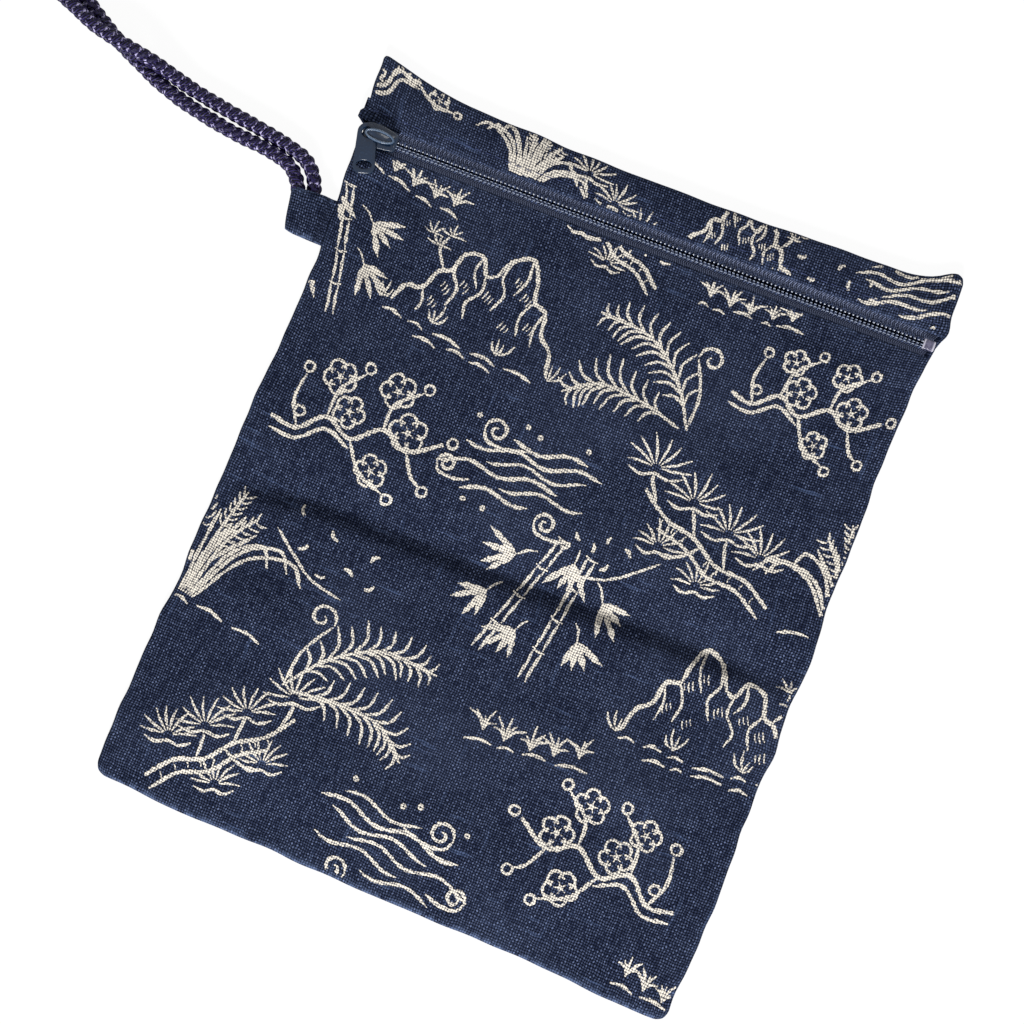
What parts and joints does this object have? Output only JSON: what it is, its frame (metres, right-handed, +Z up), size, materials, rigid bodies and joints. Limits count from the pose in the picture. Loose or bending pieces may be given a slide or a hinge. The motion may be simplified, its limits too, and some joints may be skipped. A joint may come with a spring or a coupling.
{
  "type": "zip pouch",
  "caption": "Flat fabric wallet pouch with a folded cloth band and coil zip along its top, a slider with a pull tab, and a doubled braided cord loop on a side tab.",
  "frame": {"origin": "centre of the pouch's outline with its side tab, on the surface that its back lies on; the cord loop isn't counted", "axes": "+Z up out of the printed front, +Y from the bottom fold to the zip, +X along the zip from the closed slider to the bottom stop"},
  "size_m": [0.3055, 0.2424, 0.0086],
  "materials": {
    "cloth": "navy plain-weave slub cotton, printed in cream",
    "zip_tape": "navy woven polyester with a fine herringbone",
    "zip_coil": "dark navy nylon coil, slightly glossy",
    "slider_paint": "glossy slate-navy paint on a zinc casting",
    "clear_stop": "whitish clear moulded plastic",
    "cord": "round braided polyester cord, dark purple-navy"
  },
  "bodies": {
    "pouch": {"outer_cloth": "cloth", "zip_tape_upper": "zip_tape", "zip_tape_lower": "zip_tape", "zip_coil_upper": "zip_coil", "zip_coil_lower": "zip_coil", "bottom_stop": "clear_stop", "cord_tab": "cloth", "wrist_cord": "cord"},
    "slider": {"slider_body": "slider_paint"},
    "pull": {"pull_tab": "slider_paint"}
  },
  "joints": [
    {"name": "slider_slide", "type": "slide", "parent": "pouch", "child": "slider", "axis": [1, 0, 0], "range_m": [0, 0.161], "deforming": ["zip_coil_upper", "zip_coil_lower"]},
    {"name": "pull_swivel", "type": "hinge", "parent": "slider", "child": "pull", "pos_m": [-0.08053, 0.09234, 0.006], "axis": [0, 0, 1], "range_deg": [-245, 35]}
  ]
}
